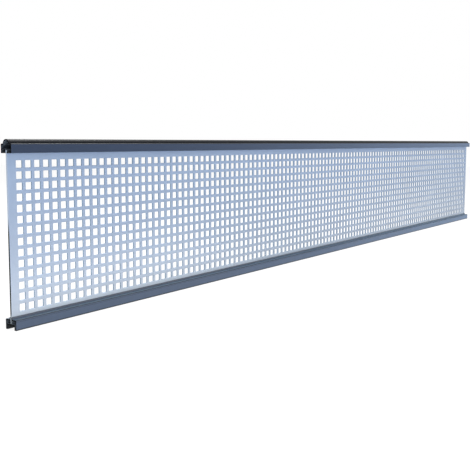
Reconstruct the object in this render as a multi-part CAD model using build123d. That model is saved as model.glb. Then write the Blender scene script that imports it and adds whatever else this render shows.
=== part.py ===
from build123d import *
from build123d.topology import SkipClean
import os

# A perforated infill panel of a composite board fence, one bay long. A metal sheet with
# square holes stands in the slots of two hollow extrusions. The bottom rail has a groove
# that goes over the tongue of the board below, and the top rail carries the same tongue
# for the groove of the board above. The ends are plain saw cuts, flush with the sheet,
# and stand in the channels of the fence posts.
# Millimetres. X runs along the panel, Y from front to back and Z up. The origin is at the
# middle of the groove's roof, which seats the panel on the tongue below.

# the perforated sheet
sheet_length = 1795.0
sheet_thickness = 2.0
hole_size = 10.0
hole_pitch = 15.0
hole_rows = 14
end_margin = 14.4           # from the sheet's left end to the first holes, and the least at its right end
lower_margin = 15.0         # from the sheet's lower edge to the lowest holes
upper_margin = 14.0         # from the highest holes to the sheet's upper edge

# both rails
rail_depth = 22.6           # front to back
outer_wall = 1.8            # the visible skin of the extrusions
inner_wall = 1.4            # slot and groove walls inside them
slot_clearance = 0.15       # on each side of the sheet in its slot
foot_round = 0.6            # rounding of the rails' lower edges
shoulder_round = 1.2        # rounding of the rails' upper edges

# the tongue on the top rail and the groove for it in the bottom rail
tongue_width = 13.6
tongue_height = 6.0
tongue_flank = 0.6          # straight side of the tongue below its arch
tongue_wall = 1.6
groove_clearance = 0.4      # on each side of the next piece's tongue
groove_headroom = 0.3       # above the crown of the next piece's tongue

# the top rail
top_slot_depth = 4.4
top_crown = 8.25            # from the top of the sheet up to the rail's shoulders

# the bottom rail
web_thickness = 1.75        # between the groove and the sheet's slot
bottom_body = 14.3          # from the feet up to the rail's shoulders
lip_height = 3.0            # slot lips above the shoulders
lip_wall = 1.8
lip_round = 0.7

# places worked out from the sizes above
rail_length = sheet_length
half_depth = rail_depth / 2
hole_columns = int((sheet_length - 2 * end_margin - hole_size) / hole_pitch) + 1
sheet_height = (hole_rows - 1) * hole_pitch + hole_size + lower_margin + upper_margin
groove_width = tongue_width + 2 * groove_clearance
groove_depth = tongue_height + groove_headroom
slot_width = sheet_thickness + 2 * slot_clearance
slot_side = slot_width / 2 + inner_wall
sheet_bottom = web_thickness
sheet_top = sheet_bottom + sheet_height
first_hole_x = -sheet_length / 2 + end_margin + hole_size / 2
first_hole_z = sheet_bottom + lower_margin + hole_size / 2


def extruded(section):
    """A section drawn on the YZ plane, carried along the whole panel."""
    return extrude(Plane.YZ.offset(-rail_length / 2) * section, amount=rail_length)


def block(width, low, high):
    """A rectangle of a section, centred in the depth, between two heights."""
    return Pos(0, (low + high) / 2) * Rectangle(width, high - low)


def side_blocks(inner, outer, low, high):
    """The same rectangle on the front and on the back of a section."""
    half = Pos((inner + outer) / 2, (low + high) / 2) * Rectangle(outer - inner, high - low)
    return half + mirror(half, about=Plane.YZ)


def tongue_outline(width, height, base):
    """A tongue with short straight flanks and a round arch."""
    half = width / 2
    spring = base + tongue_flank
    left = Line((-half, base), (-half, spring))
    arch = ThreePointArc((-half, spring), (0, base + height), (half, spring))
    right = Line((half, spring), (half, base))
    floor = Line((half, base), (-half, base))
    return make_face([left, arch, right, floor])


def corners(section, side, height):
    """The corners of a section at this distance from its middle and at this height."""
    found = ShapeList()
    for corner in section.vertices():
        if abs(abs(corner.X) - side) < 1e-4 and abs(corner.Y - height) < 1e-4:
            found.append(corner)
    return found


def top_rail():
    """Box section with the sheet's slot below and a hollow tongue above."""
    low = sheet_top - top_slot_depth
    shoulder = sheet_top + top_crown
    roof = shoulder - outer_wall
    section = block(rail_depth, low, shoulder)
    section = fillet(corners(section, half_depth, shoulder), shoulder_round)
    section = fillet(corners(section, half_depth, low), foot_round)
    section += tongue_outline(tongue_width, tongue_height, shoulder)
    section -= block(slot_width, low, sheet_top)
    # one wide chamber above the slot runs up into the tongue
    section -= block(rail_depth - 2 * outer_wall, sheet_top + inner_wall, roof)
    hollow_height = tongue_height + outer_wall - tongue_wall
    section -= tongue_outline(tongue_width - 2 * tongue_wall, hollow_height, roof)
    # a chamber on each side of the slot
    section -= side_blocks(slot_side, half_depth - outer_wall, low + outer_wall, sheet_top)
    return extruded(section)


def bottom_rail():
    """Box section with lips and a slot for the sheet above and a groove below."""
    foot = -groove_depth
    shoulder = foot + bottom_body
    lip_top = shoulder + lip_height
    lip_side = slot_width / 2 + lip_wall
    section = block(rail_depth, foot, shoulder)
    section = fillet(corners(section, half_depth, shoulder), shoulder_round)
    section = fillet(corners(section, half_depth, foot), foot_round)
    lips = block(2 * lip_side, shoulder, lip_top)
    section += fillet(corners(lips, lip_side, lip_top), lip_round)
    section -= block(slot_width, sheet_bottom, lip_top)
    section -= block(groove_width, foot, 0)
    # a chamber on each side of the slot, with a leg down inside each skirt
    section -= side_blocks(slot_side, half_depth - outer_wall, sheet_bottom, shoulder - outer_wall)
    groove_side = groove_width / 2 + inner_wall
    section -= side_blocks(groove_side, half_depth - outer_wall, foot + outer_wall, sheet_bottom)
    return extruded(section)


def perforated_sheet():
    """Flat sheet with square holes in straight rows and columns.

    It is put together from strips with one row of holes each, so that no face of the
    finished sheet has more holes than one row.
    """
    strips = []
    for row in range(hole_rows):
        height = first_hole_z + row * hole_pitch
        low = height - hole_pitch / 2 if row else sheet_bottom
        high = height + hole_pitch / 2 if row < hole_rows - 1 else sheet_top
        outline = block(sheet_length, low, high).face().outer_wire()
        holes = []
        for column in range(hole_columns):
            hole = Pos(first_hole_x + column * hole_pitch, height) * Rectangle(hole_size, hole_size)
            holes.append(hole.face().outer_wire())
        strip = Plane.XZ.offset(-sheet_thickness / 2) * Face(outline, holes)
        strips.append(extrude(strip, amount=sheet_thickness))
    with SkipClean():
        sheet = strips[0] + strips[1:]
    return sheet


os.makedirs("parts", exist_ok=True)
pieces = {
    "top_rail": top_rail(),
    "perforated_sheet": perforated_sheet(),
    "bottom_rail": bottom_rail(),
}
for name, piece in pieces.items():
    export_step(piece, f"parts/{name}.step", write_pcurves=False)
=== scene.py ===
import math
import bpy
import numpy as np
from mathutils import Matrix, Vector
from mathutils.geometry import tessellate_polygon


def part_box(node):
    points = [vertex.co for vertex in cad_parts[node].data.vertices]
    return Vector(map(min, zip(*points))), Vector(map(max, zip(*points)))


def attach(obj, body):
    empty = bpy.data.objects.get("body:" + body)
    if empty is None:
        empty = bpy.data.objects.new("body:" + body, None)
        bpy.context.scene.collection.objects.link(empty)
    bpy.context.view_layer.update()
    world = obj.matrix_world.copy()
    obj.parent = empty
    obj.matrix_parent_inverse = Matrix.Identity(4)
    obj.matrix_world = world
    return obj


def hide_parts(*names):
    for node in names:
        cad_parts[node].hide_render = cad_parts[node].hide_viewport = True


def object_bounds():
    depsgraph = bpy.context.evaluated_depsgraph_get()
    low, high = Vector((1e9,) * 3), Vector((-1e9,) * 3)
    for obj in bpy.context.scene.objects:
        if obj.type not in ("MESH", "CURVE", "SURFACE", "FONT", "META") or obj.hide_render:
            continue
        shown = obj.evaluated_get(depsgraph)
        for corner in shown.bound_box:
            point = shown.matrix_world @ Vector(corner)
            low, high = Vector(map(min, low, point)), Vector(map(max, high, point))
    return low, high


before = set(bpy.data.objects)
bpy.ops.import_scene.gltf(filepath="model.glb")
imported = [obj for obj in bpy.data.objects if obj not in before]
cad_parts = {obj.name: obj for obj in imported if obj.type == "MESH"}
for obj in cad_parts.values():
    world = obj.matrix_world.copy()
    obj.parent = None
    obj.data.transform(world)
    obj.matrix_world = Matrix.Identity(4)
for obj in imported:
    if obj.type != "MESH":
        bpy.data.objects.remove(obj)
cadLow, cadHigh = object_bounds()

# Perforated infill panel of a composite fence: a punched sheet between two hollow extrusions.
# Metres, X along the panel, Y to the back, Z up, as in the frame.

mm = 0.001
hair = 0.01 * mm                 # tells a place on an edge from the places beside it
sameSpot = 0.0001 * mm           # points nearer to each other than this are one
lowTop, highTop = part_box("top_rail")
lowSheet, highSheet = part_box("perforated_sheet")
lowBottom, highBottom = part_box("bottom_rail")


def srgb(red, green, blue):
    # colour as it is seen, 0 to 255, turned into the linear values that shaders take
    seen = np.array([red, green, blue]) / 255
    linear = np.where(seen <= 0.04045, seen / 12.92, ((seen + 0.055) / 1.055) ** 2.4)
    return (*linear.tolist(), 1.0)


def meshFrom(name, points, polygons):
    # polygons is a list of arrays, each n by 3 or n by 4 rows of point numbers
    counts = np.concatenate([np.full(len(p), p.shape[1]) for p in polygons])
    corners = np.concatenate([p.ravel() for p in polygons]).astype(np.int32)
    starts = np.concatenate([[0], np.cumsum(counts)[:-1]]).astype(np.int32)
    mesh = bpy.data.meshes.new(name)
    mesh.vertices.add(len(points))
    mesh.vertices.foreach_set("co", np.asarray(points, np.float32).ravel())
    mesh.loops.add(len(corners))
    mesh.loops.foreach_set("vertex_index", corners)
    mesh.polygons.add(len(counts))
    mesh.polygons.foreach_set("loop_start", starts)
    mesh.update(calc_edges=True)
    mesh.validate()
    thing = bpy.data.objects.new(name, mesh)
    bpy.context.collection.objects.link(thing)
    return thing


def placesOf(coats):
    # the place of each named finish among the piece's materials
    return {name: place for place, name in enumerate(coats)}


def finishPiece(thing, node, coats, finishes, sharpAngle):
    # coats names the piece's materials, and finishes gives each face the place of its own
    for material in coats.values():
        thing.data.materials.append(material)
    thing.data.polygons.foreach_set("material_index", finishes.astype(np.int32))
    thing.data.polygons.foreach_set("use_smooth", np.ones(len(thing.data.polygons), bool))
    thing.data.set_sharp_from_angle(angle=math.radians(sharpAngle))
    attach(thing, "root")
    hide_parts(node)
    print(f"{thing.name}: {len(thing.data.polygons)} faces")


# nodes that the materials share

noiseLow, noiseHigh = 0.3, 0.7   # nearly all of a noise lies between these


def newMaterial(name):
    material = bpy.data.materials.new(name)
    material.use_nodes = True
    tree = material.node_tree
    return material, tree, tree.nodes["Principled BSDF"]


def patterned(tree, coords, pattern):
    # noise on object coordinates, longer along X by the pattern's stretch
    mapping = tree.nodes.new("ShaderNodeMapping")
    mapping.inputs["Scale"].default_value = (1 / pattern["stretch"], 1, 1)
    noise = tree.nodes.new("ShaderNodeTexNoise")
    noise.inputs["Scale"].default_value = pattern["scale"]
    noise.inputs["Detail"].default_value = pattern["detail"]
    noise.inputs["Roughness"].default_value = pattern["rough"]
    tree.links.new(coords.outputs["Object"], mapping.inputs["Vector"])
    tree.links.new(mapping.outputs["Vector"], noise.inputs["Vector"])
    return noise.outputs["Fac"]


def ranged(tree, value, low, high, toLow, toHigh):
    # the stretch from low to high carried onto the one from toLow to toHigh, and held at its ends
    node = tree.nodes.new("ShaderNodeMapRange")
    node.inputs["From Min"].default_value = low
    node.inputs["From Max"].default_value = high
    node.inputs["To Min"].default_value = toLow
    node.inputs["To Max"].default_value = toHigh
    tree.links.new(value, node.inputs["Value"])
    return node.outputs["Result"]


def shareAlong(tree, coords, axis, low, high):
    # 0 at the low place along the axis and 1 at the high one
    parts = tree.nodes.new("ShaderNodeSeparateXYZ")
    tree.links.new(coords.outputs["Object"], parts.inputs["Vector"])
    return ranged(tree, parts.outputs[axis], low, high, 0, 1)


def blended(tree, factor, first, second):
    # the first colour where the factor is 0 and the second where it is 1
    node = tree.nodes.new("ShaderNodeMix")
    node.data_type = "RGBA"
    node.inputs["A"].default_value = first
    node.inputs["B"].default_value = second
    tree.links.new(factor, node.inputs["Factor"])
    return node.outputs["Result"]


def toned(tree, value, stops):
    # a colour for each place along the value, with straight changes between them
    node = tree.nodes.new("ShaderNodeValToRGB")
    ramp = node.color_ramp
    for stop in stops[1:-1]:
        ramp.elements.new(stop[0])
    for element, (place, colour) in zip(ramp.elements, stops):
        element.position = place
        element.color = colour
    tree.links.new(value, node.inputs["Fac"])
    return node.outputs["Color"]


def clouded(tree, colour, clouds, change):
    # the colour times one plus or minus the change, where the clouds are light or dark
    node = tree.nodes.new("ShaderNodeVectorMath")
    node.operation = "SCALE"
    factor = ranged(tree, clouds, noiseLow, noiseHigh, 1 - change, 1 + change)
    tree.links.new(colour, node.inputs[0])
    tree.links.new(factor, node.inputs["Scale"])
    return node.outputs["Vector"]


def bumped(tree, height, distance, strength, below=None):
    # relief of this height, on top of the relief below where one is given
    node = tree.nodes.new("ShaderNodeBump")
    node.inputs["Distance"].default_value = distance
    node.inputs["Strength"].default_value = strength
    tree.links.new(height, node.inputs["Height"])
    if below is not None:
        tree.links.new(below, node.inputs["Normal"])
    return node.outputs["Normal"]


# satin powder coat of the rails

coatGrain = {
    "clouds": {"scale": 9.0, "stretch": 3.0, "detail": 3.0, "rough": 0.5},
    "powder": {"scale": 1400.0, "stretch": 1.0, "detail": 2.0, "rough": 0.6},    # about 0.7 mm
    "powderDepth": 0.06 * mm,
    "powderStrength": 0.35,
    # faint lines that the die left along the extrusion
    "dieLines": {"scale": 320.0, "stretch": 400.0, "detail": 2.0, "rough": 0.5},
    "lineDepth": 0.08 * mm,
    "lineStrength": 0.25,
    "roughLow": 0.34,
    "roughHigh": 0.42,
}

topCoatLook = {
    "colour": srgb(40, 53, 77),
    "cloud": 0.10,               # how much lighter and darker the clouds are
    "specular": 0.25,
    "sheen": 0.74,
    "sheenRough": 0.4,
    "sheenTint": (0.415, 0.626, 1.0, 1.0),
}

# painted light: the top rail's powder coat made lighter on the bottom rail, which the floor lights more
bottomCoatLook = {
    "colour": srgb(53, 70, 96),
    "cloud": 0.08,
    "specular": 0.60,
    "sheen": 0.85,
    "sheenRough": 0.4,
    "sheenTint": (0.38, 0.62, 1.0, 1.0),
}

edgeCoatLook = {                 # the bottom rail's shoulders, in the rail's coat made darker there: painted shade
    "colour": srgb(24, 33, 48),
    "cloud": 0.08,
    "specular": 0.3,
    "sheen": 1.0,
    "sheenRough": 0.33,
    "sheenTint": (0.50, 0.74, 1.0, 1.0),
}

# painted shade: the bottom rail's coat made a little darker on the lips, with more gloss
lipCoatLook = {
    "colour": srgb(50, 64, 88),
    "cloud": 0.08,
    "specular": 1.0,
    "sheen": 1.0,
    "sheenRough": 0.4,
    "sheenTint": (0.52, 0.74, 1.0, 1.0),
}

shadeCoatLook = {                 # painted shade: the coat darker and dull, on the top rail's steps and on the bottom rail's groove, slot and dark lines
    "colour": srgb(35, 39, 46),
    "cloud": 0.12,
    "specular": 0.2,
    "sheen": 0.1,
    "sheenRough": 0.4,
    "sheenTint": (0.6, 0.8, 1.0, 1.0),
}

# painted shade: the tongue's arch and flanks in a coat darker and more neutral than the faces
tongueCoatLook = {
    "colour": srgb(26, 28, 32),
    "cloud": 0.12,
    "specular": 0.05,
    "sheen": 0.0,
    "sheenRough": 0.4,
    "sheenTint": (1.0, 1.0, 1.0, 1.0),
}


def shaded(colour, factor):
    return (colour[0] * factor, colour[1] * factor, colour[2] * factor, 1.0)


def coatMaterial(name, look, grain):
    # clouds in the colour, powder in the gloss, and powder over die lines in the relief
    material, tree, shader = newMaterial(name)
    coords = tree.nodes.new("ShaderNodeTexCoord")
    clouds = patterned(tree, coords, grain["clouds"])
    powder = patterned(tree, coords, grain["powder"])
    lines = patterned(tree, coords, grain["dieLines"])
    dark = shaded(look["colour"], 1 - look["cloud"])
    light = shaded(look["colour"], 1 + look["cloud"])
    tree.links.new(blended(tree, clouds, dark, light), shader.inputs["Base Color"])
    rough = ranged(tree, powder, noiseLow, noiseHigh, grain["roughLow"], grain["roughHigh"])
    tree.links.new(rough, shader.inputs["Roughness"])
    normal = bumped(tree, lines, grain["lineDepth"], grain["lineStrength"])
    normal = bumped(tree, powder, grain["powderDepth"], grain["powderStrength"], normal)
    tree.links.new(normal, shader.inputs["Normal"])
    shader.inputs["Specular IOR Level"].default_value = look["specular"]
    shader.inputs["Sheen Weight"].default_value = look["sheen"]
    shader.inputs["Sheen Roughness"].default_value = look["sheenRough"]
    shader.inputs["Sheen Tint"].default_value = look["sheenTint"]
    return material


# bare metal of the rails, and their cut ends in a near black that is painted shade

shadedEndLook = {                     # the cut ends, near black: painted shade on ends that face away from the light
    "dark": srgb(10, 11, 13),
    "light": srgb(20, 22, 26),
    "marks": {"scale": 900.0, "stretch": 1.0, "detail": 2.0, "rough": 0.5},
    "rough": 0.6,
    "specular": 0.02,
}

millLook = {                     # inside the chambers, with the die's lines along them
    "dark": srgb(82, 92, 104),
    "light": srgb(98, 108, 120),
    "marks": {"scale": 700.0, "stretch": 200.0, "detail": 2.0, "rough": 0.5},
    "rough": 0.5,
    "specular": 0.1,
}


def bareMaterial(name, look):
    # dark and light marks of the tool, and one gloss
    material, tree, shader = newMaterial(name)
    coords = tree.nodes.new("ShaderNodeTexCoord")
    marks = patterned(tree, coords, look["marks"])
    tree.links.new(blended(tree, marks, look["dark"], look["light"]), shader.inputs["Base Color"])
    shader.inputs["Roughness"].default_value = look["rough"]
    shader.inputs["Specular IOR Level"].default_value = look["specular"]
    return material


# finishes of the sheet

sheetLook = {
    # painted light: lighter towards the lower edge and bluer towards the upper one, from the lower edge,
    # just over the lips, to the upper edge
    "paintedTones": [(0.0, srgb(184, 196, 211)), (0.07, srgb(171, 183, 201)), (0.28, srgb(162, 176, 198)),
              (0.68, srgb(158, 175, 202)), (1.0, srgb(159, 179, 210))],
    "cloud": 0.04,
    "clouds": {"scale": 6.0, "stretch": 2.0, "detail": 4.0, "rough": 0.5},
    "rolling": {"scale": 900.0, "stretch": 60.0, "detail": 3.0, "rough": 0.6},   # marks along it
    "rollDepth": 0.03 * mm,
    "rollStrength": 0.25,
    "roughLow": 0.34,
    "roughHigh": 0.42,
    "metallic": 0.6,
    "specular": 0.05,
}


def sheetMaterial(look):
    # the sheet's colour in painted light by height, with faint clouds in it, and rolling marks in the gloss
    # and the relief
    material, tree, shader = newMaterial("satinSheet")
    coords = tree.nodes.new("ShaderNodeTexCoord")
    clouds = patterned(tree, coords, look["clouds"])
    rolling = patterned(tree, coords, look["rolling"])
    paintedTones = toned(tree, shareAlong(tree, coords, "Z", highBottom.z, highSheet.z), look["paintedTones"])
    tree.links.new(clouded(tree, paintedTones, clouds, look["cloud"]), shader.inputs["Base Color"])
    rough = ranged(tree, rolling, noiseLow, noiseHigh, look["roughLow"], look["roughHigh"])
    tree.links.new(rough, shader.inputs["Roughness"])
    normal = bumped(tree, rolling, look["rollDepth"], look["rollStrength"])
    tree.links.new(normal, shader.inputs["Normal"])
    shader.inputs["Metallic"].default_value = look["metallic"]
    shader.inputs["Specular IOR Level"].default_value = look["specular"]
    return material


punchLook = {
    "burnished": srgb(106, 140, 172),    # where the punch rubbed the wall
    "torn": srgb(92, 124, 154),          # where the metal broke away
    "grain": {"scale": 2500.0, "stretch": 1.0, "detail": 2.0, "rough": 0.5},
    "grainDepth": 0.04 * mm,
    "grainStrength": 0.4,
    "rough": 0.45,
    "metallic": 0.2,
}


def punchMaterial(look):
    # the cut walls of the holes, from the punched side to the torn one
    material, tree, shader = newMaterial("punchedWall")
    coords = tree.nodes.new("ShaderNodeTexCoord")
    depth = shareAlong(tree, coords, "Y", lowSheet.y, highSheet.y)
    tree.links.new(blended(tree, depth, look["burnished"], look["torn"]), shader.inputs["Base Color"])
    grain = patterned(tree, coords, look["grain"])
    normal = bumped(tree, grain, look["grainDepth"], look["grainStrength"])
    tree.links.new(normal, shader.inputs["Normal"])
    shader.inputs["Roughness"].default_value = look["rough"]
    shader.inputs["Metallic"].default_value = look["metallic"]
    return material


rimLook = {
    # painted reflection: pale where it stands in the bottom rail's slot, nearly black up to the middle,
    # pale above
    "paintedTones": [(0.0, srgb(145, 155, 165)), (0.02, srgb(8, 9, 11)), (0.50, srgb(8, 9, 11)),
              (0.60, srgb(176, 188, 208))],
    "rough": 0.5,
    "specular": 0.02,
}


def rimMaterial(look):
    # the sheared edge of the sheet, in painted reflection by height
    material, tree, shader = newMaterial("shearedRim")
    coords = tree.nodes.new("ShaderNodeTexCoord")
    paintedTones = toned(tree, shareAlong(tree, coords, "Z", highBottom.z, highSheet.z), look["paintedTones"])
    tree.links.new(paintedTones, shader.inputs["Base Color"])
    shader.inputs["Roughness"].default_value = look["rough"]
    shader.inputs["Specular IOR Level"].default_value = look["specular"]
    return material


topCoat = coatMaterial("topRailCoat", topCoatLook, coatGrain)
bottomCoat = coatMaterial("bottomRailCoat", bottomCoatLook, coatGrain)
edgeCoat = coatMaterial("edgeCoat", edgeCoatLook, coatGrain)
lipCoat = coatMaterial("lipCoat", lipCoatLook, coatGrain)
shadeCoat = coatMaterial("shadeCoat", shadeCoatLook, coatGrain)
tongueCoat = coatMaterial("tongueCoat", tongueCoatLook, coatGrain)
shadedEnd = bareMaterial("shadedEnd", shadedEndLook)
millInside = bareMaterial("millInside", millLook)
satinSheet = sheetMaterial(sheetLook)
punchedWall = punchMaterial(punchLook)
shearedRim = rimMaterial(rimLook)
print("materials made")


# section outlines, as arrays of (y, z) points with the metal on their left

sides = {"edge": 8, "lip": 5, "box": 5, "mouth": 4, "chamber": 4, "arch": 14}    # of each rounding

# to the side and up or down of the middle, and the angle at which the corner's rounding starts
cornerKinds = {
    "upperRight": (1, 1, 0),
    "upperLeft": (-1, 1, 90),
    "lowerLeft": (-1, -1, 180),
    "lowerRight": (1, -1, 270),
}


def arc(centreY, centreZ, radius, fromAngle, toAngle, count):
    # centre plus radius times (cos t, sin t), with t in degrees from one angle to the other
    t = np.radians(np.linspace(fromAngle, toAngle, count + 1))
    return np.stack([centreY + radius * np.cos(t), centreZ + radius * np.sin(t)], 1)


def rounded(kind, y, z, radius, count):
    # a quarter circle in place of the corner (y, z), with its centre one radius in from both edges
    side, height, angle = cornerKinds[kind]
    return arc(y - side * radius, z - height * radius, radius, angle, angle + 90, count)


def halfArch(halfWidth, springZ, crownZ):
    # the circle through both springing points and the crown, from the right one up to the crown
    rise = crownZ - springZ
    radius = (halfWidth ** 2 + rise ** 2) / (2 * rise)
    reach = math.degrees(math.asin(halfWidth / radius))
    return arc(0, crownZ - radius, radius, 90 - reach, 90, sides["arch"])


def mirrored(right):
    # a right half from its bottom up, and then the same points back down on the left
    points = np.concatenate([right, right[::-1] * [-1, 1]])
    step = np.linalg.norm(points - np.roll(points, 1, 0), axis=1)
    return points[step > sameSpot]


def roundedBox(y0, y1, z0, z1, radius):
    # anticlockwise from the lower right corner
    return np.concatenate([
        rounded("lowerRight", y1, z0, radius, sides["box"]),
        rounded("upperRight", y1, z1, radius, sides["box"]),
        rounded("upperLeft", y0, z1, radius, sides["box"]),
        rounded("lowerLeft", y0, z0, radius, sides["box"])])


def onBothSides(hole):
    # a chamber on the right and its mirror image on the left, both clockwise
    return [hole[::-1], hole * [-1, 1]]


def sideMiddles(outline):
    # the middle of each side of an outline: its distance from the middle plane, and its height
    middle = (outline + np.roll(outline, -1, 0)) / 2
    return np.abs(middle[:, 0]), middle[:, 1]


def mitred(points, inset):
    # each point moved into the metal by the inset, measured square to both edges that meet there
    forward = np.roll(points, -1, 0) - points
    forward /= np.linalg.norm(forward, axis=1, keepdims=True)
    square = np.stack([-forward[:, 1], forward[:, 0]], 1)
    before = np.roll(square, 1, 0)
    both = before + square
    return points + inset * both / (1 + (before * square).sum(1, keepdims=True))


def sweep(name, outlines, finishes, endFinish, low, high, chamfer):
    # (x, y, z) = (station, outline point), with the first and last ring drawn in by the chamfer,
    # and both ends closed by flat faces between the outlines. finishes holds an array for each
    # outline, with the finish of the side after each point.
    stations = np.array([low, low + chamfer, high - chamfer, high])
    insets = np.array([chamfer, 0, 0, chamfer])
    spans = len(stations) - 1
    points, quads, nearRings, first = [], [], [], 0
    for outline in outlines:
        n = len(outline)
        ring = np.stack([mitred(outline, inset) for inset in insets])
        along = np.repeat(stations, n).reshape(len(stations), n, 1)
        points.append(np.concatenate([along, ring], 2).reshape(-1, 3))
        i = np.arange(n)
        j = np.arange(spans)[:, None]
        a = first + j * n + i
        b = first + j * n + (i + 1) % n
        quads.append(np.stack([a, b, b + n, a + n], 2).reshape(-1, 4))
        nearRings.append(first + i)
        first += n * len(stations)
    points = np.concatenate(points)
    near = np.concatenate(nearRings)
    far = np.concatenate([ring + len(ring) * spans for ring in nearRings])
    cap = np.array(tessellate_polygon([(points[ring] * [0, 1, 1]).tolist() for ring in nearRings]))
    corner = points[near][cap][:, :, 1:]
    u = corner[:, 1] - corner[:, 0]
    v = corner[:, 2] - corner[:, 0]
    anticlockwise = u[:, :1] * v[:, 1:] > u[:, 1:] * v[:, :1]
    cap = np.where(anticlockwise, cap, cap[:, ::-1])
    thing = meshFrom(name, points, [np.concatenate(quads), near[cap][:, ::-1], far[cap]])
    bands = [np.tile(finish, spans) for finish in finishes]
    return thing, np.concatenate([*bands, np.full(2 * len(cap), endFinish)])


# top rail

topRail = {
    "footRound": 0.6 * mm,
    "shoulderRound": 1.2 * mm,
    "outerWall": 1.8 * mm,
    "innerWall": 1.4 * mm,
    "tongueWidth": 13.6 * mm,
    "tongueHeight": 6.0 * mm,
    "tongueFlank": 0.6 * mm,
    "tongueWall": 1.6 * mm,
    "slotGap": 0.15 * mm,
    "mouthRound": 0.3 * mm,
    "chamberRound": 0.4 * mm,
    "bodyHeight": 12.65 * mm,    # from the lower edge to the shoulders
    "stepShare": 0.8,            # how much of the shoulders' rounding has the steps' darker coat, painted shade
    "sawnEdge": 0.12 * mm,
    "sharpAngle": 35,
}

topRailCoats = {
    "face": topCoat,
    "step": shadeCoat,
    "tongue": tongueCoat,
    "end": shadedEnd,
    "chamber": millInside,
}


def topRailOutlines(rail):
    # the outer outline, the wide chamber that runs up into the tongue, and one beside the slot
    # on each side
    half, low, roof = highTop.y, lowTop.z, highSheet.z
    shoulder = low + rail["bodyHeight"]
    slotHalf = highSheet.y + rail["slotGap"]
    tongueHalf = rail["tongueWidth"] / 2
    crown = shoulder + rail["tongueHeight"]
    outer = mirrored(np.concatenate([
        [[0, roof], [slotHalf, roof]],
        rounded("lowerLeft", slotHalf, low, rail["mouthRound"], sides["mouth"]),
        rounded("lowerRight", half, low, rail["footRound"], sides["edge"]),
        rounded("upperRight", half, shoulder, rail["shoulderRound"], sides["edge"]),
        [[tongueHalf, shoulder]],
        halfArch(tongueHalf, shoulder + rail["tongueFlank"], crown)]))
    wall, bend = rail["outerWall"], rail["chamberRound"]
    inside = half - wall
    floor = roof + rail["innerWall"]
    ceiling = shoulder - wall
    hollowHalf = tongueHalf - rail["tongueWall"]
    wide = mirrored(np.concatenate([
        [[0, floor]],
        rounded("lowerRight", inside, floor, bend, sides["chamber"]),
        rounded("upperRight", inside, ceiling, bend, sides["chamber"]),
        [[hollowHalf, ceiling]],
        halfArch(hollowHalf, ceiling + rail["tongueFlank"], crown - rail["tongueWall"])]))
    beside = roundedBox(slotHalf + rail["innerWall"], inside, low + wall, roof, bend)
    return [outer, wide[::-1], *onBothSides(beside)]


def topRailFinishes(rail, outlines, place):
    height = sideMiddles(outlines[0])[1]
    shoulder = lowTop.z + rail["bodyHeight"]
    # the steps take the darker coat that paints shade
    onStep = height > shoulder - rail["stepShare"] * rail["shoulderRound"]
    # the tongue takes its darker coat, painted shade
    onTongue = height > shoulder + hair
    outer = np.select([onTongue, onStep], [place["tongue"], place["step"]], place["face"])
    return [outer] + [np.full(len(o), place["chamber"]) for o in outlines[1:]]


topPlaces = placesOf(topRailCoats)
topOutlines = topRailOutlines(topRail)
topSkin, topFinishes = sweep(
    "topRailSkin", topOutlines, topRailFinishes(topRail, topOutlines, topPlaces), topPlaces["end"],
    lowTop.x, highTop.x, topRail["sawnEdge"])
finishPiece(topSkin, "top_rail", topRailCoats, topFinishes, topRail["sharpAngle"])


# bottom rail

bottomRail = {
    "footRound": 0.6 * mm,
    "shoulderRound": 1.2 * mm,
    "outerWall": 1.8 * mm,
    "innerWall": 1.4 * mm,
    "lipWall": 1.8 * mm,
    "lipHeight": 3.0 * mm,
    "lipRound": 0.7 * mm,
    "grooveWidth": 14.4 * mm,
    "slotGap": 0.15 * mm,
    "mouthRound": 0.3 * mm,
    "chamberRound": 0.4 * mm,
    "shadedFoot": 1.6 * mm,        # the lowest part of the faces is darker and has no sheen: painted shade
    "faceLine": 2.4 * mm,        # from the shoulders down to a fine dark, dull line on the faces: painted shade
    "faceLineWidth": 0.35 * mm,
    "shoulderShare": 0.9,        # how much of the shoulders' rounding has the shoulders' darker coat, the painted shade
    "shadedLip": 0.5,              # how much of the lips' rounding is darker and dull, from its top: painted shade
    "shadedCornerDown": 0.3,       # how much of the shoulders' rounding is darker and dull, from its top: painted shade
    "shadedCornerIn": 0.8,         # and from its side
    "sawnEdge": 0.12 * mm,
    "sharpAngle": 35,
}

bottomRailCoats = {
    "face": bottomCoat,
    "shoulder": edgeCoat,
    "lip": lipCoat,
    "paintedShade": shadeCoat,
    "end": shadedEnd,
    "chamber": millInside,
}


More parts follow.
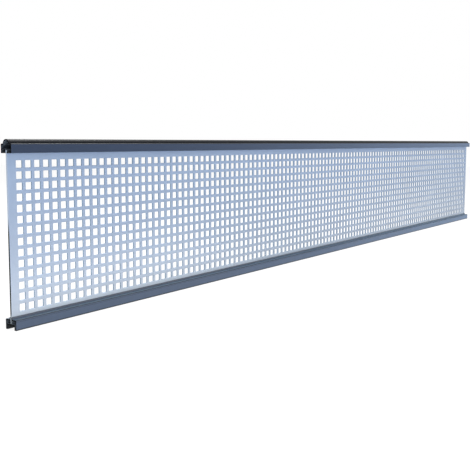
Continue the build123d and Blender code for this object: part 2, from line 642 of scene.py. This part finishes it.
def bottomRailOutlines(rail):
    # the outer outline, from the groove's roof round to the slot's floor, and one chamber on
    # each side with a leg down inside the skirt
    half, foot, lipTop = highBottom.y, lowBottom.z, highBottom.z
    shoulder = lipTop - rail["lipHeight"]
    slotFloor = lowSheet.z
    slotHalf = highSheet.y + rail["slotGap"]
    lipHalf = slotHalf + rail["lipWall"]
    grooveHalf = rail["grooveWidth"] / 2
    lineTop = shoulder - rail["faceLine"]
    outer = mirrored(np.concatenate([
        [[0, 0], [grooveHalf, 0]],
        rounded("lowerLeft", grooveHalf, foot, rail["mouthRound"], sides["mouth"]),
        rounded("lowerRight", half, foot, rail["footRound"], sides["edge"]),
        [[half, foot + rail["shadedFoot"]], [half, lineTop - rail["faceLineWidth"]], [half, lineTop]],
        rounded("upperRight", half, shoulder, rail["shoulderRound"], sides["edge"]),
        [[lipHalf, shoulder]],
        rounded("upperRight", lipHalf, lipTop, rail["lipRound"], sides["lip"]),
        rounded("upperLeft", slotHalf, lipTop, rail["mouthRound"], sides["mouth"]),
        [[slotHalf, slotFloor], [0, slotFloor]]]))
    wall, inner, bend = rail["outerWall"], rail["innerWall"], rail["chamberRound"]
    inside, floor, ceiling = half - wall, foot + wall, shoulder - wall
    chamber = np.concatenate([
        rounded("lowerRight", inside, floor, bend, sides["chamber"]),
        rounded("upperRight", inside, ceiling, bend, sides["chamber"]),
        rounded("upperLeft", slotHalf + inner, ceiling, bend, sides["chamber"]),
        rounded("lowerLeft", slotHalf + inner, slotFloor, bend, sides["chamber"]),
        [[grooveHalf + inner, slotFloor]],
        rounded("lowerLeft", grooveHalf + inner, floor, bend, sides["chamber"])])
    return [outer, *onBothSides(chamber)]


def bottomRailFinishes(rail, outlines, place):
    # painted shade, in a darker and dull coat: in the groove and the slot, on the feet, along the top edges
    # of the lips and the shoulders, and on the fine line of each face
    side, height = sideMiddles(outlines[0])
    shoulder = highBottom.z - rail["lipHeight"]
    bend = rail["shoulderRound"]
    onLip = height > shoulder + hair
    # the shoulders take their darker coat, painted shade
    onShoulder = height > shoulder - rail["shoulderShare"] * bend
    onFoot = height < lowBottom.z + rail["shadedFoot"]
    alongLip = height > highBottom.z - rail["shadedLip"] * rail["lipRound"]
    highOnCorner = height > shoulder - rail["shadedCornerDown"] * bend
    alongCorner = highOnCorner & (side > highBottom.y - rail["shadedCornerIn"] * bend)
    inGroove = (side < rail["grooveWidth"] / 2 + hair) & (height < hair)
    inSlot = side < highSheet.y + rail["slotGap"] + hair
    lineMiddle = shoulder - rail["faceLine"] - rail["faceLineWidth"] / 2
    onLine = (side > highBottom.y - hair) & (np.abs(height - lineMiddle) < hair)
    paintedShade = inGroove | inSlot | onFoot | alongLip | alongCorner | onLine
    outer = np.select([paintedShade, onLip, onShoulder],
                      [place["paintedShade"], place["lip"], place["shoulder"]], place["face"])
    return [outer] + [np.full(len(o), place["chamber"]) for o in outlines[1:]]


bottomPlaces = placesOf(bottomRailCoats)
bottomOutlines = bottomRailOutlines(bottomRail)
bottomSkin, bottomFinishes = sweep(
    "bottomRailSkin", bottomOutlines, bottomRailFinishes(bottomRail, bottomOutlines, bottomPlaces),
    bottomPlaces["end"], lowBottom.x, highBottom.x, bottomRail["sawnEdge"])
finishPiece(bottomSkin, "bottom_rail", bottomRailCoats, bottomFinishes,
            bottomRail["sharpAngle"])


# punched sheet

punchedSheet = {
    "hole": 10 * mm,
    "pitch": 15 * mm,
    "columns": 118,
    "rows": 14,
    "leftMargin": 14.4 * mm,     # from the left end to the first holes
    "lowerMargin": 15 * mm,      # from the lower edge to the lowest holes
    "cornerCut": 0.45 * mm,      # small cut corners of the punch
    "rollOver": 0.25 * mm,       # edge drawn in on the punched side
    "breakOut": 0.12 * mm,       # edge on the far side
    "paintedRimStrip": 0.4 * mm,        # strip beside the sheared ends, in the rim's painted reflection
    "sharpAngle": 30,
}

sheetCoats = {
    "satin": satinSheet,
    "wall": punchedWall,
    "rim": shearedRim,
}


def facesAround(cell, ring):
    # four wide faces from the cell's sides to the eight-sided hole, and four small ones at its
    # corners
    wide, small = [], []
    for k in range(4):
        after = (k + 1) % 4
        wide.append(np.stack([cell[:, k], cell[:, after], ring[:, 2 * k], ring[:, 2 * k - 1]], 1))
        small.append(np.stack([cell[:, after], ring[:, 2 * k + 1], ring[:, 2 * k]], 1))
    return np.concatenate(wide), np.concatenate(small)


def punchedSheetPiece(sheet, place):
    # a grid of nodes at the middle of the webs, (x, z) = (column lines, row lines), with an
    # eight-sided hole in each inner cell, carried through the thickness in four steps
    half, cut, pitch = sheet["hole"] / 2, sheet["cornerCut"], sheet["pitch"]
    roll, burr = sheet["rollOver"], sheet["breakOut"]
    front, back = lowSheet.y, highSheet.y
    columnsX = lowSheet.x + sheet["leftMargin"] + half + pitch * np.arange(sheet["columns"])
    rowsZ = lowSheet.z + sheet["lowerMargin"] + half + pitch * np.arange(sheet["rows"])
    strip = roll + sheet["paintedRimStrip"]
    linesX = np.concatenate([
        [lowSheet.x + roll, lowSheet.x + strip, columnsX[0] - pitch / 2], columnsX + pitch / 2,
        [highSheet.x - strip, highSheet.x - roll]])
    linesZ = np.concatenate([
        [lowSheet.z + roll, rowsZ[0] - pitch / 2], rowsZ + pitch / 2, [highSheet.z - roll]])
    gridX, gridZ = np.meshgrid(linesX, linesZ, indexing="ij")
    number = np.arange(gridX.size).reshape(gridX.shape)
    behind = gridX.size          # from a node on the front to the one behind it
    flats = [np.stack([gridX, np.full_like(gridX, y), gridZ], 2).reshape(-1, 3) for y in (front, back)]

    # cells without a hole lie round the edge, and the outermost ones at both ends are the strips, in the
    # rim's painted reflection
    cells = np.stack([number[:-1, :-1], number[1:, :-1], number[1:, 1:], number[:-1, 1:]], 2)
    punched = np.zeros(cells.shape[:2], bool)
    punched[2:-2, 1:-1] = True
    strips = np.zeros(cells.shape[:2], bool)
    strips[[0, -1]] = True
    plain = cells[~punched]
    plainFinish = np.where(strips[~punched], place["rim"], place["satin"])

    # each hole's rings, anticlockwise seen from the front, two points at each corner
    corners = np.array([[half - cut, -half], [half, cut - half], [half, half - cut], [half - cut, half],
                        [cut - half, half], [-half, half - cut], [-half, cut - half], [cut - half, -half]])
    centres = np.stack(np.meshgrid(columnsX, rowsZ, indexing="ij"), 2).reshape(-1, 1, 2)
    steps = [(front, roll), (front + roll, 0), (back - burr, 0), (back, burr)]
    holes = []
    for y, wider in steps:
        ring = centres + corners * (1 + wider / half)
        holes.append(np.stack([ring[..., 0], np.full(ring.shape[:2], y), ring[..., 1]], 2).reshape(-1, 3))
    perStep = len(centres) * len(corners)
    rings = 2 * behind + np.arange(len(steps) * perStep).reshape(len(steps), len(centres), len(corners))
    turned = np.roll(rings, -1, 2)
    walls = np.stack([rings[:-1], turned[:-1], turned[1:], rings[1:]], 3)[..., ::-1]
    walls = walls.reshape(len(steps) - 1, perStep, 4)
    frontWide, frontSmall = facesAround(cells[punched], rings[0])
    backWide, backSmall = facesAround(cells[punched] + behind, rings[-1])

    # the sheared rim: once round the border of the grid, out to the sheet's own edge and back
    border = np.concatenate([number[:-1, 0], number[-1, :-1], number[:0:-1, -1], number[0, :0:-1]])
    atX, atZ = np.divmod(border, len(linesZ))
    edgeX = np.concatenate([[lowSheet.x], linesX[1:-1], [highSheet.x]])[atX]
    edgeZ = np.concatenate([[lowSheet.z], linesZ[1:-1], [highSheet.z]])[atZ]
    rims = [np.stack([edgeX, np.full(len(border), y), edgeZ], 1) for y in (front + roll, back - roll)]
    frontRim = 2 * behind + len(steps) * perStep + np.arange(len(border))
    loops = [border, frontRim, frontRim + len(border), border + behind]
    rimQuads = np.concatenate([np.stack([a, b, np.roll(b, -1), np.roll(a, -1)], 1)
                               for a, b in zip(loops[:-1], loops[1:])])

    # faces with their finish; the first band of the walls is the edge that the punch drew in
    faces = [
        (plain, plainFinish),
        (plain[:, ::-1] + behind, plainFinish),
        (frontWide, place["satin"]),
        (frontSmall, place["satin"]),
        (backWide[:, ::-1], place["satin"]),
        (backSmall[:, ::-1], place["satin"]),
        (walls[0], place["satin"]),
        (walls[1:].reshape(-1, 4), place["wall"]),
        (rimQuads, place["rim"]),
    ]
    thing = meshFrom("punchedSheetSkin", np.concatenate([*flats, *holes, *rims]), [f[0] for f in faces])
    return thing, np.concatenate([np.broadcast_to(finish, len(polygons)) for polygons, finish in faces])


sheetSkin, sheetFinishes = punchedSheetPiece(punchedSheet, placesOf(sheetCoats))
finishPiece(sheetSkin, "perforated_sheet", sheetCoats, sheetFinishes,
            punchedSheet["sharpAngle"])


# floor, light and camera

studio = {
    "floorSize": 12.0,
    "floorColour": (0.9, 0.9, 0.9, 1.0),
    "floorRough": 0.9,
    "floorSpecular": 0.1,
    "floorGlow": 1.06,           # strength of the floor's own white, where it is seen directly
    "glowShare": 0.86,           # the rest there is the lit floor, with the panel's shadow
    "fillColour": (0.92, 0.97, 1.0, 1.0),
    "fillStrength": 0.45,
    "backdropColour": (1.0, 1.0, 1.0, 1.0),
    "backdropStrength": 1.0,
}


def seenDirectly(tree):
    # 1 for camera, glossy and transmission rays, and 0 for the others
    path = tree.nodes.new("ShaderNodeLightPath")
    total = path.outputs["Is Camera Ray"]
    for kind in ("Is Glossy Ray", "Is Transmission Ray"):
        either = tree.nodes.new("ShaderNodeMath")
        either.operation = "MAXIMUM"
        tree.links.new(total, either.inputs[0])
        tree.links.new(path.outputs[kind], either.inputs[1])
        total = either.outputs[0]
    return total


def makeRoom(stage):
    # a soft cool fill from all round, and a white backdrop where the world is seen directly
    world = bpy.data.worlds.new("softRoom")
    world.use_nodes = True
    tree = world.node_tree
    sky = tree.nodes["Background"]
    seen = seenDirectly(tree)
    colour = blended(tree, seen, stage["fillColour"], stage["backdropColour"])
    strength = ranged(tree, seen, 0, 1, stage["fillStrength"], stage["backdropStrength"])
    tree.links.new(colour, sky.inputs["Color"])
    tree.links.new(strength, sky.inputs["Strength"])
    bpy.context.scene.world = world


def makeFloor(stage):
    # one square at the height of the feet, a blend of lit floor and plain white
    reach = stage["floorSize"] / 2
    corners = np.array([[-reach, -reach], [reach, -reach], [reach, reach], [-reach, reach]])
    points = np.concatenate([corners, np.full((4, 1), cadLow.z)], 1)
    floor = meshFrom("studioFloor", points, [np.array([[0, 1, 2, 3]])])
    material, tree, shader = newMaterial("paleFloor")
    shader.inputs["Base Color"].default_value = stage["floorColour"]
    shader.inputs["Roughness"].default_value = stage["floorRough"]
    shader.inputs["Specular IOR Level"].default_value = stage["floorSpecular"]
    glow = tree.nodes.new("ShaderNodeEmission")
    glow.inputs["Strength"].default_value = stage["floorGlow"]
    mix = tree.nodes.new("ShaderNodeMixShader")
    tree.links.new(ranged(tree, seenDirectly(tree), 0, 1, 0, stage["glowShare"]), mix.inputs["Fac"])
    tree.links.new(shader.outputs["BSDF"], mix.inputs[1])
    tree.links.new(glow.outputs["Emission"], mix.inputs[2])
    tree.links.new(mix.outputs["Shader"], tree.nodes["Material Output"].inputs["Surface"])
    floor.data.materials.append(material)


plainLight = (1.0, 1.0, 1.0)
warmLight = (1.0, 0.92, 0.8)

lamps = {
    "overhead": {
        "place": (0.0, -0.4, 2.2), "aim": (0.0, 0.0, 0.1), "size": (3.0, 1.6),
        "power": 57, "colour": plainLight},
    # two low strips in front of the near half of the bottom rail
    "lowStrip": {
        "place": (-0.75, -0.18, 0.015), "aim": (-0.75, 0.0, 0.015), "size": (1.0, 0.04),
        "power": 0.143, "colour": warmLight},
    "leftStrip": {
        "place": (-1.1, -0.25, 0.02), "aim": (-0.95, 0.0, 0.03), "size": (0.6, 0.05),
        "power": 0.366, "colour": warmLight},
    "backFill": {
        "place": (0.0, 2.4, 1.4), "aim": (0.0, 0.0, 0.1), "size": (2.6, 1.4),
        "power": 15, "colour": plainLight},
    # the pale line along the near end of the tongue
    "tongueGleam": {
        "place": (0.4, 0.9, 1.8), "aim": (-0.8, 0.0, 0.25), "size": (0.9, 0.6),
        "power": 20, "colour": plainLight},
}


def softbox(name, look):
    # a flat lamp that the camera doesn't see, turned to face a point
    lamp = bpy.data.lights.new(name, "AREA")
    lamp.shape = "RECTANGLE"
    lamp.size, lamp.size_y = look["size"]
    lamp.energy = look["power"]
    lamp.color = look["colour"]
    thing = bpy.data.objects.new(name, lamp)
    thing.location = look["place"]
    thing.rotation_euler = (Vector(look["aim"]) - Vector(look["place"])).to_track_quat("-Z", "Y").to_euler()
    thing.visible_camera = False
    bpy.context.collection.objects.link(thing)


view = {
    "place": (-1483.8 * mm, -808.6 * mm, 246.2 * mm),
    "turn": 53.528,              # degrees from straight back towards the far end
    "dip": 5.446,                # degrees below level
    "roll": 0.059,               # degrees, the camera's right side up
    "lens": 55.19,               # millimetres, as the sensor
    "sensor": 36,
    "shiftY": -0.0515,
    "nearest": 0.01,
    "farthest": 100,
}


def makeCamera(view):
    # turned about the upright, tipped from straight down to just below level, and rolled
    lens = bpy.data.cameras.new("photoCamera")
    lens.lens = view["lens"]
    lens.sensor_width = view["sensor"]
    lens.sensor_fit = "HORIZONTAL"
    lens.shift_y = view["shiftY"]
    lens.clip_start = view["nearest"]
    lens.clip_end = view["farthest"]
    camera = bpy.data.objects.new("photoCamera", lens)
    camera.location = view["place"]
    turn = Matrix.Rotation(math.radians(-view["turn"]), 4, "Z")
    tip = Matrix.Rotation(math.radians(90 - view["dip"]), 4, "X")
    roll = Matrix.Rotation(math.radians(view["roll"]), 4, "Z")
    camera.rotation_euler = (turn @ tip @ roll).to_euler()
    bpy.context.collection.objects.link(camera)
    bpy.context.scene.camera = camera


makeRoom(studio)
makeFloor(studio)
for name, look in lamps.items():
    softbox(name, look)
makeCamera(view)
bpy.context.scene.view_settings.view_transform = "Standard"
print("stage, light and camera made")
